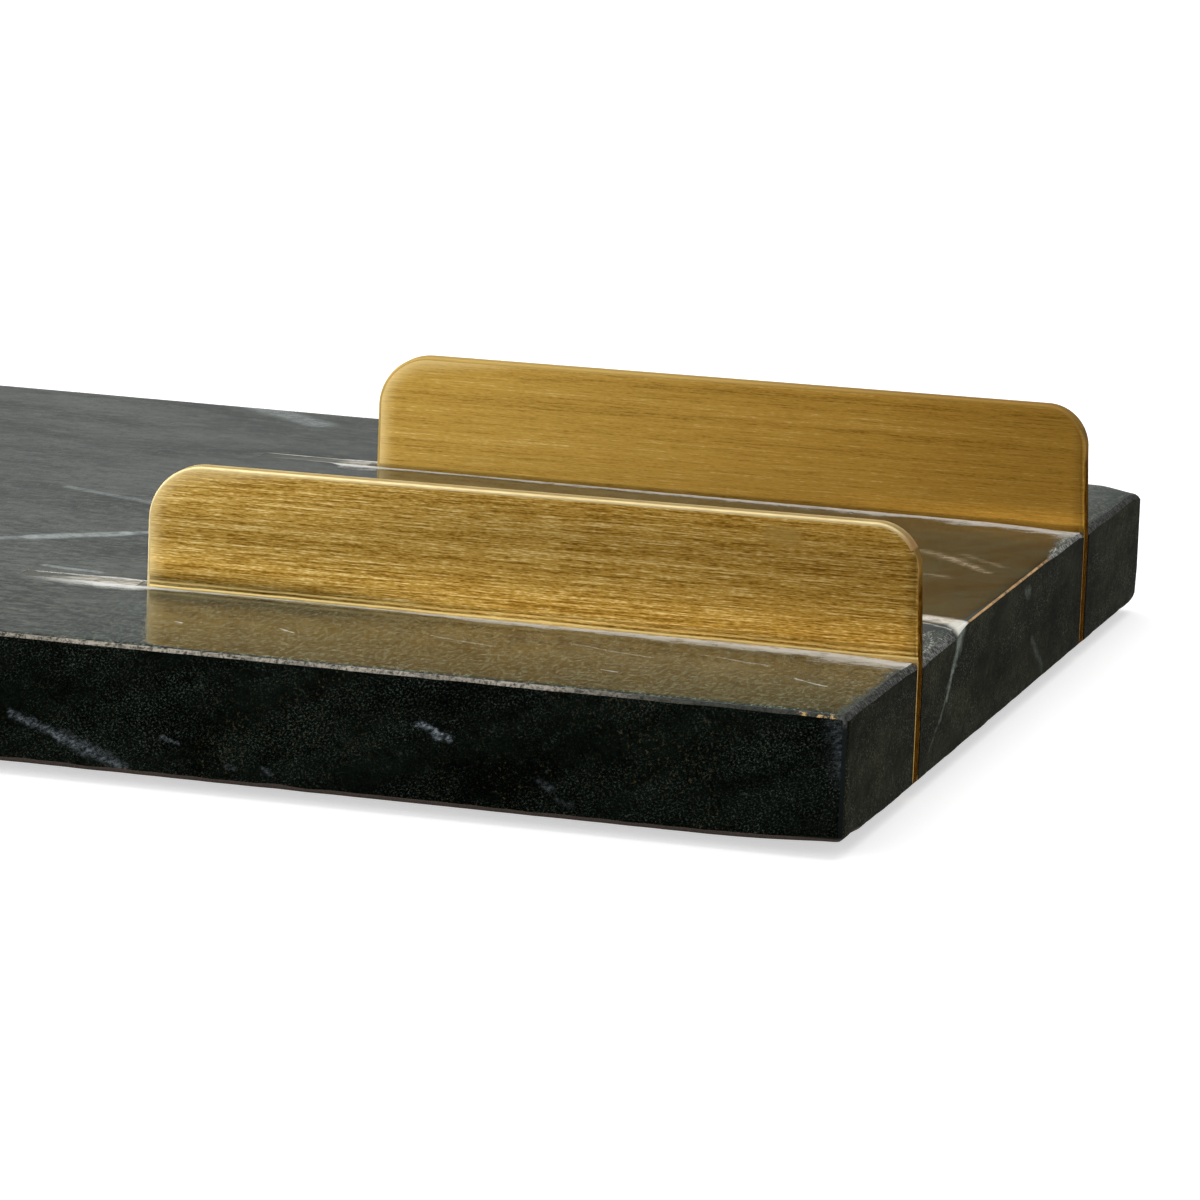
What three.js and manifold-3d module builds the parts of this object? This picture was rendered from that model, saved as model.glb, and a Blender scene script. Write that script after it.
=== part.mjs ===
// Marble tray: a polished slab with a pair of brass plates let into each end.
// Millimetres, +Z up. The origin is on the table under the middle of the tray.
// X runs along the length and Y across it, from the front (-Y) to the back (+Y).

import * as THREE from "three";
import { mergeVertices } from "three/addons/utils/BufferGeometryUtils.js";
import Module from "manifold-3d";

const wasm = await Module();
wasm.setup();

// Slab
const TRAY_LENGTH = 400;
const TRAY_WIDTH = 200;
const SLAB_THICKNESS = 20;
const ARRIS = 0.8; // small 45 degree chamfer along every edge of the top and the underside
const SLAB_CORNER_RADIUS = 1.5; // the four upright corners, as seen from above
const SLAB_CORNER_STEPS = 6;

// Brass plates, cut from flat bar
const PLATE_LENGTH = 124;
const PLATE_OUTER_RISE = 20.5; // above the slab's top, at the tray's end
const PLATE_INNER_RISE = 19.5; // above the slab's top, towards the tray's middle
const PLATE_THICKNESS = 3;
const PLATE_INSET = 42; // from the slab's long side to the plate's nearer face
const PLATE_UNDERSIDE_RECESS = 0.5; // the plate stops just short of the slab's underside
const PLATE_OUTER_RADIUS = 7; // top corner at the tray's end
const PLATE_INNER_RADIUS = 9; // top corner towards the tray's middle
const PLATE_EASING = 0.5; // rounding of every edge of the plate
const PLATE_EASING_STEPS = 3;
const PLATE_CORNER_STEPS = 10;

// Saw kerfs that the plates stand in. A round blade cuts them in from the end, right through the slab,
// so the inner end of each kerf follows the blade's rim and reaches further at the top than underneath.
const BLADE_RADIUS = 90;
const BLADE_OVERCUT = 20; // how far the blade's rim passes below the underside
const KERF_CLEARANCE = 0.3; // between the plate or the filler and the kerf's walls
const RIM_STEPS = 14;

// Filler in the kerf's run-out
const POCKET_LENGTH = 1.7; // open pocket left between the plate and the filler
const FILLER_TOE = 0.8; // the filler's thickness at the underside, where the rim comes nearest the plate
const FILLER_RECESS = 0.2; // below the slab's top

// Stick-on rubber feet
const FOOT_DIAMETER = 16;
const FOOT_THICKNESS = 2;
const FOOT_TAPER = 1; // how much smaller the radius is at the table
const FOOT_EDGE = 0.4; // rounded lower edge
const FOOT_EDGE_STEPS = 3;
const FOOT_END_INSET = 22; // from the slab's end to the foot's centre
const FOOT_SIDE_INSET = 20; // from the slab's long side to the foot's centre
const FOOT_SEGMENTS = 32;

// Heights and places that follow from the sizes above
const UNDERSIDE_Z = FOOT_THICKNESS;
const TOP_Z = UNDERSIDE_Z + SLAB_THICKNESS;
const HALF_LENGTH = TRAY_LENGTH / 2;
const HALF_WIDTH = TRAY_WIDTH / 2;
const KERF_WIDTH = PLATE_THICKNESS + 2 * KERF_CLEARANCE;
const PLATE_CENTRE_Y = HALF_WIDTH - PLATE_INSET - PLATE_THICKNESS / 2;
const PLATE_INNER_X = HALF_LENGTH - PLATE_LENGTH;
const CUT_MARGIN = 2; // how far a cutting body runs past the faces that it cuts

const marble = () => new THREE.MeshStandardMaterial({ color: 0x1c231f, roughness: 0.12, metalness: 0 });
const brass = () => new THREE.MeshStandardMaterial({ color: 0xb08a44, roughness: 0.36, metalness: 1 });
const filler = () => new THREE.MeshStandardMaterial({ color: 0xbdb7a6, roughness: 0.85, metalness: 0 });
const rubber = () => new THREE.MeshStandardMaterial({ color: 0x232323, roughness: 0.9, metalness: 0 });

// Boolean cuts

function toSolid(geometry) {
  const bare = geometry.clone();
  bare.deleteAttribute("normal");
  bare.deleteAttribute("uv");
  const merged = mergeVertices(bare);
  return new wasm.Manifold(new wasm.Mesh({
    numProp: 3,
    vertProperties: new Float32Array(merged.attributes.position.array),
    triVerts: new Uint32Array(merged.index.array),
  }));
}

function toGeometry(solid) {
  const mesh = solid.getMesh();
  const geometry = new THREE.BufferGeometry();
  geometry.setAttribute("position", new THREE.BufferAttribute(mesh.vertProperties, 3));
  geometry.setIndex(new THREE.BufferAttribute(mesh.triVerts, 1));
  geometry.computeVertexNormals();
  return geometry;
}

// A shape drawn in X and Z, given a thickness across Y and centred on Y = 0
function extrudeAcross(shape, thickness, options = {}) {
  const geometry = new THREE.ExtrudeGeometry(shape, { depth: thickness, bevelEnabled: false, ...options });
  geometry.rotateX(Math.PI / 2);
  geometry.translate(0, thickness / 2, 0);
  return geometry;
}

// Slab

// One level of the slab: a rectangle with rounded corners, counter-clockwise seen from above
function slabOutline(inset, z) {
  const reachX = HALF_LENGTH - inset - SLAB_CORNER_RADIUS;
  const reachY = HALF_WIDTH - inset - SLAB_CORNER_RADIUS;
  const corners = [[1, 1], [-1, 1], [-1, -1], [1, -1]];
  return corners.flatMap(([sideX, sideY], quarter) =>
    Array.from({ length: SLAB_CORNER_STEPS + 1 }, (_, step) => {
      const angle = (quarter + step / SLAB_CORNER_STEPS) * (Math.PI / 2);
      const x = sideX * reachX + SLAB_CORNER_RADIUS * Math.cos(angle);
      const y = sideY * reachY + SLAB_CORNER_RADIUS * Math.sin(angle);
      return new THREE.Vector3(x, y, z);
    }));
}

// Skins a stack of level outlines, from the lowest to the highest, and closes both ends
function loft(levels) {
  const count = levels[0].length;
  const triangles = [];
  for (let level = 0; level + 1 < levels.length; level++) {
    for (let point = 0; point < count; point++) {
      const here = level * count + point;
      const next = level * count + (point + 1) % count;
      triangles.push(here, next, next + count, here, next + count, here + count);
    }
  }
  const cap = THREE.ShapeUtils.triangulateShape(levels[0].map((p) => new THREE.Vector2(p.x, p.y)), []);
  const top = (levels.length - 1) * count;
  for (const [a, b, c] of cap) {
    triangles.push(a, c, b, top + a, top + b, top + c);
  }
  const geometry = new THREE.BufferGeometry().setFromPoints(levels.flat());
  geometry.setIndex(triangles);
  return geometry;
}

function slabBlank() {
  return loft([
    slabOutline(ARRIS, UNDERSIDE_Z),
    slabOutline(0, UNDERSIDE_Z + ARRIS),
    slabOutline(0, TOP_Z - ARRIS),
    slabOutline(ARRIS, TOP_Z),
  ]);
}

// Saw kerf, drawn for the right-hand end

// Centre of the blade: its rim crosses the underside just past the plate, the pocket and the filler's toe
function bladeCentre() {
  const z = UNDERSIDE_Z - BLADE_OVERCUT + BLADE_RADIUS;
  const rimAtUnderside = PLATE_INNER_X - POCKET_LENGTH - FILLER_TOE - KERF_CLEARANCE;
  const reach = Math.sqrt(BLADE_RADIUS ** 2 - (z - UNDERSIDE_Z) ** 2);
  return new THREE.Vector2(rimAtUnderside + reach, z);
}

// Angle of the rim's point at height z, on the side towards the tray's middle
function rimAngle(radius, z) {
  return Math.PI + Math.asin((bladeCentre().y - z) / radius);
}

// Follows the blade's rim upwards, from height low to height high
function addRim(shape, radius, low, high) {
  const centre = bladeCentre();
  shape.absarc(centre.x, centre.y, radius, rimAngle(radius, low), rimAngle(radius, high), true);
}

function kerfCutter() {
  const low = UNDERSIDE_Z - CUT_MARGIN;
  const high = TOP_Z + CUT_MARGIN;
  const shape = new THREE.Shape();
  addRim(shape, BLADE_RADIUS, low, high);
  shape.lineTo(HALF_LENGTH + CUT_MARGIN, high);
  shape.lineTo(HALF_LENGTH + CUT_MARGIN, low);
  shape.closePath();
  return extrudeAcross(shape, KERF_WIDTH, { curveSegments: RIM_STEPS });
}

// The filler fills the rim's curve up to a straight end that leaves the pocket open beside the plate
function kerfFiller() {
  const low = UNDERSIDE_Z + PLATE_UNDERSIDE_RECESS;
  const high = TOP_Z - FILLER_RECESS;
  const nearPlate = PLATE_INNER_X - POCKET_LENGTH;
  const shape = new THREE.Shape();
  addRim(shape, BLADE_RADIUS - KERF_CLEARANCE, low, high);
  shape.lineTo(nearPlate, high);
  shape.lineTo(nearPlate, low);
  shape.closePath();
  return extrudeAcross(shape, KERF_WIDTH - 2 * KERF_CLEARANCE, { curveSegments: RIM_STEPS });
}

// Brass plate, drawn for the right-hand end: square below, with two rounded corners on top.
// Its top edge climbs a little towards the tray's end.

function brassPlate() {
  const bottom = UNDERSIDE_Z + PLATE_UNDERSIDE_RECESS;
  const easing = Math.min(PLATE_EASING, PLATE_THICKNESS / 2);
  const slope = (PLATE_OUTER_RISE - PLATE_INNER_RISE) / PLATE_LENGTH;
  const climb = Math.atan(slope);
  const outer = Math.min(PLATE_OUTER_RADIUS, PLATE_OUTER_RISE);
  const inner = Math.min(PLATE_INNER_RADIUS, PLATE_INNER_RISE);
  // Each corner's centre lies its radius inside the upright end and inside the climbing top edge
  const outerX = HALF_LENGTH - outer;
  const outerZ = TOP_Z + PLATE_OUTER_RISE - outer * (slope + 1 / Math.cos(climb));
  const innerX = PLATE_INNER_X + inner;
  const innerZ = TOP_Z + PLATE_INNER_RISE + inner * (slope - 1 / Math.cos(climb));
  const shape = new THREE.Shape();
  shape.moveTo(PLATE_INNER_X, bottom);
  shape.lineTo(HALF_LENGTH, bottom);
  shape.absarc(outerX, outerZ, outer, 0, Math.PI / 2 + climb, false);
  shape.absarc(innerX, innerZ, inner, Math.PI / 2 + climb, Math.PI, false);
  shape.closePath();
  const geometry = new THREE.ExtrudeGeometry(shape, {
    depth: PLATE_THICKNESS - 2 * easing,
    curveSegments: PLATE_CORNER_STEPS,
    bevelEnabled: true,
    bevelThickness: easing,
    bevelSize: easing,
    bevelOffset: -easing,
    bevelSegments: PLATE_EASING_STEPS,
  });
  geometry.rotateX(Math.PI / 2);
  geometry.translate(0, PLATE_THICKNESS / 2 - easing, 0);
  return geometry;
}

// Rubber foot: a low disc, narrower at the table, with a rounded lower edge

function rubberFoot() {
  const topRadius = FOOT_DIAMETER / 2;
  const tableRadius = topRadius - FOOT_TAPER;
  const edge = Math.min(FOOT_EDGE, FOOT_THICKNESS / 2);
  const profile = [new THREE.Vector2(0, 0)];
  for (let step = 0; step <= FOOT_EDGE_STEPS; step++) {
    const angle = (step / FOOT_EDGE_STEPS) * (Math.PI / 2);
    const x = tableRadius - edge + edge * Math.sin(angle);
    profile.push(new THREE.Vector2(x, edge - edge * Math.cos(angle)));
  }
  profile.push(new THREE.Vector2(topRadius, FOOT_THICKNESS));
  profile.push(new THREE.Vector2(0, FOOT_THICKNESS));
  const geometry = new THREE.LatheGeometry(profile, FOOT_SEGMENTS);
  geometry.rotateX(Math.PI / 2);
  return geometry;
}

// Assembly

const tray = new THREE.Group();
const ends = [["right", 1], ["left", -1]];
const sides = [["front", -1], ["back", 1]];

// A piece drawn for the right-hand end turns half round to serve the left-hand end
function place(name, geometry, material, endSign, x, y) {
  const mesh = new THREE.Mesh(geometry, material);
  mesh.name = name;
  mesh.position.set(x, y, 0);
  mesh.rotation.z = endSign > 0 ? 0 : Math.PI;
  tray.add(mesh);
}

function cutSlab() {
  const cutter = toSolid(kerfCutter());
  let slab = toSolid(slabBlank());
  for (const [, endSign] of ends) {
    for (const [, sideSign] of sides) {
      const turned = cutter.rotate([0, 0, endSign > 0 ? 0 : 180]);
      slab = slab.subtract(turned.translate([0, sideSign * PLATE_CENTRE_Y, 0]));
    }
  }
  return toGeometry(slab);
}

place("marble_slab", cutSlab(), marble(), 1, 0, 0);

for (const [endName, endSign] of ends) {
  for (const [sideName, sideSign] of sides) {
    const suffix = `${endName}_${sideName}`;
    const plateY = sideSign * PLATE_CENTRE_Y;
    const footX = endSign * (HALF_LENGTH - FOOT_END_INSET);
    const footY = sideSign * (HALF_WIDTH - FOOT_SIDE_INSET);
    place(`brass_plate_${suffix}`, brassPlate(), brass(), endSign, 0, plateY);
    place(`kerf_filler_${suffix}`, kerfFiller(), filler(), endSign, 0, plateY);
    place(`rubber_foot_${suffix}`, rubberFoot(), rubber(), endSign, footX, footY);
  }
}

export default tray;
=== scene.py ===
import math

import bmesh
import bpy
from mathutils import Matrix, Vector, noise
from mathutils.geometry import delaunay_2d_cdt


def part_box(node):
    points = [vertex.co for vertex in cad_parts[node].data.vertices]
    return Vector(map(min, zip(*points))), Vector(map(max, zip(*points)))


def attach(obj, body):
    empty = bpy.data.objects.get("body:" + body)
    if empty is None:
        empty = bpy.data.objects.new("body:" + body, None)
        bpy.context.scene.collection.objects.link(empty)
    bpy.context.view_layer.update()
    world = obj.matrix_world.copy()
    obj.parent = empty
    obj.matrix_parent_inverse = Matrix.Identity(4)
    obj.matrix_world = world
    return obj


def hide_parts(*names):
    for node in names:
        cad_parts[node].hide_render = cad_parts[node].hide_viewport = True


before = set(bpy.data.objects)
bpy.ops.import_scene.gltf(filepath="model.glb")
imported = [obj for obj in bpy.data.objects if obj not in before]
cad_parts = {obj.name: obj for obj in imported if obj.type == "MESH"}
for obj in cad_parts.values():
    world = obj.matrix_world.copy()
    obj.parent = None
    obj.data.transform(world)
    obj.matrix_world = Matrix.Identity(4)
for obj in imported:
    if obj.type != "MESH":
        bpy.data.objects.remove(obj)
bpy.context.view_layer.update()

MM = 0.001
SAME = 0.001 * MM
BODY = "root"
ENDS = {"right": 1, "left": -1}
SIDES = {"front": -1, "back": 1}

# Camera, solved from the photograph's edges

IMAGE_PIXELS = 1200
FOCAL_PIXELS = 7006.03
SENSOR_WIDTH = 36.0
CAMERA_PLACE = Vector((0.4435432, -1.064191, 0.2419201))
CAMERA_AZIMUTH = -0.2842
CAMERA_DIP = 0.2026
CAMERA_ROLL = 0.0361

# Slab

ARRIS = 0.8 * MM
SIDE_ARRIS = 0.56 * MM
SLAB_CORNER_RADIUS = 1.5 * MM
EDGE_ROLL = 1.9 * MM
EDGE_ROLL_DROP = 0.13 * MM
OUTLINE_STEP = 1.25 * MM
END_STEP = 0.8 * MM
CORNER_STEP = 0.45 * MM
SUPPORT_STEP = 0.35 * MM
CORNER_WEAR = 0.3 * MM
CORNER_REACH = 9 * MM
INNER_CORNER_RADIUS = 0.8 * MM
KERF_EDGE = 0.14 * MM
KERF_CLEARANCE = 0.3 * MM
POCKET_LENGTH = 1.7 * MM
TOP_GRID_STEP = 1.6 * MM
TOP_GRID_COARSE = 6
FILLER_TOE = 0.8 * MM
BLADE_RADIUS = 90 * MM
BLADE_OVERCUT = 20 * MM
MOUTH_HOLLOW_DEPTH = 0.5 * MM
MOUTH_HOLLOW_LENGTH = 24 * MM
MOUTH_HOLLOW_WIDTH = 5 * MM

# Plates

PLATE_CLIMB = 1 * MM
PLATE_INNER_RADIUS = 9 * MM
PLATE_OUTER_RADIUS = 7 * MM
PLATE_EASING = 0.5 * MM
PLATE_CORNER_STEPS = 22
PLATE_END_STEPS = 33
PLATE_EASING_STEPS = 4
PLATE_END_RECESS = 0.6 * MM
PLATE_BUFF_END = 3.2 * MM
PLATE_BUFF_TOP = 1.7 * MM
PLATE_BUFF_DEPTH = 0.05 * MM
PLATE_BUFF_INSETS = [3.4 * MM, 3.2 * MM, 2.2 * MM, 1.4 * MM, 0.9 * MM]

# Fillers, glue and feet

PASTE_STEP = 0.6 * MM
GLUE_STEP = 0.8 * MM
FOOT_ROUNDING = 0.5 * MM
FOOT_TAPER = 0.8 * MM
FOOT_SIDES = 72

# Measures that come from the frame

slab_low, slab_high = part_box("marble_slab")
HALF_LENGTH = slab_high.x
HALF_WIDTH = slab_high.y
UNDERSIDE_Z = slab_low.z
TOP_Z = slab_high.z
plate_low, plate_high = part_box("brass_plate_right_back")
PLATE_INNER_X = plate_low.x
KERF_INNER_Y = plate_low.y - KERF_CLEARANCE
KERF_OUTER_Y = plate_high.y + KERF_CLEARANCE
KERF_CENTRE_Y = (KERF_INNER_Y + KERF_OUTER_Y) / 2
KERF_HALF_WIDTH = (KERF_OUTER_Y - KERF_INNER_Y) / 2
KERF_FOOT_X = PLATE_INNER_X - POCKET_LENGTH - FILLER_TOE - KERF_CLEARANCE
BLADE_Z = UNDERSIDE_Z - BLADE_OVERCUT + BLADE_RADIUS
BLADE_X = KERF_FOOT_X + math.sqrt(BLADE_RADIUS ** 2 - (BLADE_Z - UNDERSIDE_Z) ** 2)
KERF_TIP_X = BLADE_X - math.sqrt(BLADE_RADIUS ** 2 - (BLADE_Z - TOP_Z) ** 2)


# Small helpers for numbers and meshes

def smooth(low, high, value):
    """0 at low, 1 at high, eased between."""
    share = min(max((value - low) / (high - low), 0), 1)
    return share * share * (3 - 2 * share)


def wobble(size, x, y=0.0, seed=0.0):
    """Seeded noise from -1 to 1 that changes over about size."""
    return noise.noise(Vector((x / size, y / size, 7.3 * seed)))


def spread(start, end, step):
    """Evenly spaced values from start to end, about a step apart."""
    count = max(1, round(abs(end - start) / step))
    return [start + (end - start) * i / count for i in range(count + 1)]


def add_object(name, data):
    made = bpy.data.objects.new(name, data)
    bpy.context.scene.collection.objects.link(made)
    return made


def make_object(name, points, faces, materials, sharp_degrees=None, face_materials=None):
    """A mesh object from points in metres in the row frame."""
    mesh = bpy.data.meshes.new(name)
    mesh.from_pydata([tuple(p) for p in points], [], faces)
    for material in materials:
        mesh.materials.append(material)
    if face_materials:
        mesh.polygons.foreach_set("material_index", face_materials)
    body = bmesh.new()
    body.from_mesh(mesh)
    bmesh.ops.remove_doubles(body, verts=body.verts, dist=0.002 * MM)
    bmesh.ops.dissolve_degenerate(body, edges=body.edges, dist=0.001 * MM)
    bmesh.ops.recalc_face_normals(body, faces=body.faces)
    if body.calc_volume(signed=True) < 0:
        bmesh.ops.reverse_faces(body, faces=body.faces)
    body.to_mesh(mesh)
    body.free()
    if sharp_degrees is not None:
        mesh.shade_smooth()
        mesh.set_sharp_from_angle(angle=math.radians(sharp_degrees))
    return add_object(name, mesh)


def circle(count):
    """Points round a circle of radius 1."""
    return [(math.cos(math.tau * i / count), math.sin(math.tau * i / count)) for i in range(count)]


def loft(rings):
    """Points and faces of a closed body through rings of equal size, capped at both ends."""
    size = len(rings[0])
    points = [p for ring in rings for p in ring]
    faces = [tuple(range(size)), tuple(range(len(points) - size, len(points)))]
    for row in range(len(rings) - 1):
        for i in range(size):
            a, b = row * size + i, row * size + (i + 1) % size
            faces.append((a, b, b + size, a + size))
    return points, faces


# Node helpers for materials

class Shading:
    """The node tree of a material or the world, with a short call for each kind of node it needs."""

    def __init__(self, name, kind=bpy.data.materials):
        self.made = kind.new(name)
        self.made.use_nodes = True
        self.tree = self.made.node_tree
        self.tree.nodes.clear()
        self.place = self.node("ShaderNodeTexCoord").outputs["Object"]

    def node(self, kind, inputs=None, **settings):
        made = self.tree.nodes.new(kind)
        for key, value in settings.items():
            setattr(made, key, value)
        for key, value in (inputs or {}).items():
            if isinstance(value, bpy.types.NodeSocket):
                self.tree.links.new(value, made.inputs[key])
            else:
                made.inputs[key].default_value = value
        return made

    def math(self, operation, a, b=0.0, c=0.0, clamp=False):
        return self.node("ShaderNodeMath", {0: a, 1: b, 2: c}, operation=operation, use_clamp=clamp).outputs[0]

    def times(self, a, b, clamp=False):
        return self.math("MULTIPLY", a, b, clamp=clamp)

    def times_plus(self, a, b, c):
        """a times b, plus c."""
        return self.math("MULTIPLY_ADD", a, b, c)

    def minus(self, a, b):
        return self.math("SUBTRACT", a, b)

    def reach(self, a):
        """a without its sign."""
        return self.math("ABSOLUTE", a)

    def fade(self, share, a, b):
        """a where share is 0, b where it is 1."""
        return self.times_plus(share, self.minus(b, a), a)

    def vector(self, operation, a, b=(0, 0, 0), output=0):
        return self.node("ShaderNodeVectorMath", {0: a, 1: b}, operation=operation).outputs[output]

    def scaled(self, vector, share):
        return self.node("ShaderNodeVectorMath", {0: vector, "Scale": share}, operation="SCALE").outputs[0]

    def noise(self, vector, scale, detail, roughness, output="Fac"):
        inputs = {"Vector": vector, "Scale": scale, "Detail": detail, "Roughness": roughness}
        return self.node("ShaderNodeTexNoise", inputs).outputs[output]

    def streaks(self, detail, roughness, scale, rotation=(0, 0, 0), place=None):
        """Noise on object coordinates that are turned and then scaled."""
        turned = self.node("ShaderNodeMapping", {"Vector": place or self.place, "Rotation": rotation})
        stretched = self.node("ShaderNodeMapping", {"Vector": turned.outputs[0], "Scale": scale})
        return self.noise(stretched.outputs[0], 1, detail, roughness)

    def ramp(self, value, low, high, out_low=0.0, out_high=1.0):
        """value eased from low to high onto out_low to out_high."""
        inputs = {"Value": value, "From Min": low, "From Max": high, "To Min": out_low, "To Max": out_high}
        return self.node("ShaderNodeMapRange", inputs, interpolation_type="SMOOTHSTEP").outputs[0]

    def profile(self, value, stops):
        """A level from 0 to 10 that runs straight between stops of (millimetres, level)."""
        stops = [(place * MM, level) for place, level in stops]
        low, high = stops[0][0], stops[-1][0]
        share = self.times_plus(value, 1 / (high - low), -low / (high - low))
        ramp = self.node("ShaderNodeValToRGB", {0: share})
        marks = ramp.color_ramp.elements
        while len(marks) < len(stops):
            marks.new(0.5)
        for mark, (place, level) in zip(marks, stops):
            mark.position = (place - low) / (high - low)
            mark.color = (level / 10, level / 10, level / 10, 1)
        return self.times(ramp.outputs[0], 10)

    def mix(self, share, a, b):
        colour = {0: share, 6: (*a, 1) if isinstance(a, tuple) else a, 7: (*b, 1) if isinstance(b, tuple) else b}
        return self.node("ShaderNodeMix", colour, data_type="RGBA").outputs[2]

    def axes(self):
        return self.node("ShaderNodeSeparateXYZ", {0: self.place}).outputs

    def bump(self, height, distance, below=None):
        inputs = {"Height": height, "Distance": distance}
        if below is not None:
            inputs["Normal"] = below
        return self.node("ShaderNodeBump", inputs).outputs[0]

    def stroke(self, place, start, end, width, core=0.3):
        """1 on the line from start to end, fading from a share of width beside it to 0 at width."""
        along = Vector(end) - Vector(start)
        offset = self.vector("SUBTRACT", place, tuple(start))
        share = self.vector("DOT_PRODUCT", offset, tuple(along / along.length_squared), "Value")
        gap = self.vector("SUBTRACT", offset, self.scaled(tuple(along), self.times(share, 1.0, clamp=True)))
        return self.ramp(self.vector("LENGTH", gap, output="Value"), width, core * width)

    def finish(self, **sockets):
        """A Principled shader with these sockets as the material's own."""
        named = {key.replace("_", " "): value for key, value in sockets.items()}
        shader = self.node("ShaderNodeBsdfPrincipled", named)
        return self.show(shader)

    def show(self, shader, output="ShaderNodeOutputMaterial"):
        """The shader into the output. Returns the material or the world."""
        self.node(output, {"Surface": shader.outputs[0]})
        return self.made


# Places of the veins, flecks and scratches that the photograph shows, in millimetres in the row frame:
# start (two numbers), end (two numbers), width and strength

TOP_VEINS = [
    (34, -38, 46, -29.5, 1.7, 0.4), (46, -29.5, 58, -20.5, 2.6, 0.62), (58, -20.5, 68, -12, 1.8, 0.45),
    (36, 13, 60, 4, 1.5, 0.3), (40, 99, 54, 88.5, 4.0, 0.38), (56, -50.3, 66, -51.5, 1.2, 0.45),
    (104.7, -78.2, 108.4, -81.3, 0.3, 1.0), (186.7, -79.1, 191.9, -82, 0.45, 0.8),
    (157.9, -85.5, 160.8, -86.4, 0.32, 0.7), (89.5, -81.3, 90.2, -81.8, 0.4, 1.0), (128, -74, 139, -77, 0.6, 0.3),
    (149, -70, 163, -74.5, 0.6, 0.3), (170, -69, 180, -72, 0.6, 0.35),
]
CREAM_VEINS = [
    (179.5, 25.4, 186.5, 20.6, 2.4, 0.5), (185, 21.6, 190, 16.6, 2.0, 0.6), (189, 17.4, 193.4, 12.8, 1.6, 0.75),
    (185.2, 6.6, 188.8, 5.8, 1.6, 0.45), (187, 25, 195, 18, 1.6, 0.3),
]
END_TOP_VEINS = [
    (184, -26, 193, -26.4, 2.3, 0.55), (192.5, -26.6, 199.3, -28.8, 3.0, 1.0), (199, -28.6, 201, -31.0, 3.0, 1.0),
    (192, -30, 198.8, -32.8, 0.5, 0.5), (198.8, -32.8, 201.6, -37, 0.5, 0.5),
]
END_FACE_VEINS = [
    (-29.5, 22.5, -31.6, 19.8, 3.0, 1.0), (-31.0, 20.4, -35.6, 15.6, 1.4, 0.9),
    (-35.6, 15.6, -38.4, 12.0, 1.0, 0.75), (-38.4, 12.0, -42.8, 9.4, 0.8, 0.5), (-42.8, 9.4, -48.5, 6, 0.7, 0.25),
    (-33.0, 16.4, -38.6, 14.0, 0.6, 0.55), (19.2, 10.4, 27.6, 4, 1.2, 0.25), (13.4, 19.3, 15.6, 18.7, 1.6, 0.35),
]
FRONT_VEINS_AND_CORNER_HIGHLIGHT = [
    (70, 9.6, 78, 6.9, 1.0, 0.5), (78, 6.9, 88, 3.2, 1.5, 0.55), (94.2, 8.4, 96.6, 7.6, 0.6, 0.8),
    (134.4, 14.4, 137, 13.5, 0.75, 0.9), (137, 13.5, 139.8, 12.3, 0.65, 1.0), (136, 13.2, 138, 12.4, 0.6, 0.8),
    (104.8, 4.9, 106, 4.6, 0.6, 0.3), (110.5, 4.9, 112, 4.4, 0.6, 0.3), (153.5, 7.3, 155.5, 6.4, 0.9, 0.22),
    # The last two entries of the next line are not veins but a painted highlight down the front face beside the right
    # corner
    (156.5, 4.9, 158.5, 4.2, 0.8, 0.2), (198.2, 20.6, 199.4, 13, 2.8, 0.12), (198.9, 19.8, 199.4, 15, 1.5, 0.16),
]

# The faces that the veins lie on, in millimetres: the top, the front, the right end and that end's top edge
TOP_LEVEL, FRONT_LEVEL, END_LEVEL, END_EDGE_LEVEL = 22, -100, 200, 21.6

# Levels along the stone and the plates, as (millimetres, level)

# Along the end's top edge, from front to back: how far in the grinding reaches, in millimetres, and how pale it is
END_WEAR_REACH = [(-100, 2.0), (-75, 1.8), (-60, 2.2), (-53, 7.0), (-38, 6.0), (-31, 0.6), (-20, 0.3), (28, 0.3),
                  (34, 1.2), (50, 2.6), (54, 3.0), (60, 5.0), (85, 5.0), (100, 7.0)]
END_WEAR_PALE = [(-100, 0.05), (-75, 0.07), (-60, 0.1), (-53, 0.15), (-38, 0.15), (-31, 0.03), (-20, 0.02),
                 (28, 0.05), (34, 0.26), (50, 0.2), (54, 0.24), (60, 0.06), (85, 0.05), (100, 0.03)]
# The same way, how wide the end's top arris is
END_ARRIS = [(-100, 0.8), (-58, 0.9), (-54, 1.1), (-34, 1.0), (-27, 0.26), (28, 0.26), (34, 0.5), (54, 0.6),
             (58, 1.0), (80, 0.8), (100, 0.8)]
# Along a kerf, from the middle of the tray: how far the white scuffs reach in front of it, in millimetres
FRONT_SCUFFS = [(50, 1.0), (60, 2.6), (71, 4.6), (80, 2.4), (90, 1.1), (112, 1.1), (124, 2.0), (134, 3.0), (165, 4.0),
                (184, 5.8), (200, 9.9)]
BACK_SCUFFS = [(50, 0.3), (68, 0.3), (70.5, 3.6), (76.5, 3.8), (80, 2.0), (130, 2.4), (165, 3.4), (184, 5.0),
               (200, 8.4)]
# The same way, how pale the back kerf's filler is
BACK_FILLER = [(56, 0.1), (59, 0.34), (63, 0.16), (68.5, 0.2), (70.5, 0.95), (78, 1.0)]
# Up a plate's foot from the top: how light its painted highlight and shade lines are
FOOT_LINES = [(0, 1.2), (0.22, 1.6), (0.36, 1.4), (0.5, 0.62), (0.7, 0.66), (0.84, 1.25), (1.04, 1.2), (1.22, 0.66),
              (1.5, 0.74), (2, 1.0)]
# Across a plate's top edge from its middle, front to back: how light its painted highlight and shade make it
RIM_TONES = [(-1.5, 0.52), (-1.44, 0.62), (-1.38, 0.9), (-1.12, 0.9), (-0.8, 0.5), (0.2, 0.54), (0.7, 0.8),
             (1.5, 0.72)]
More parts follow.
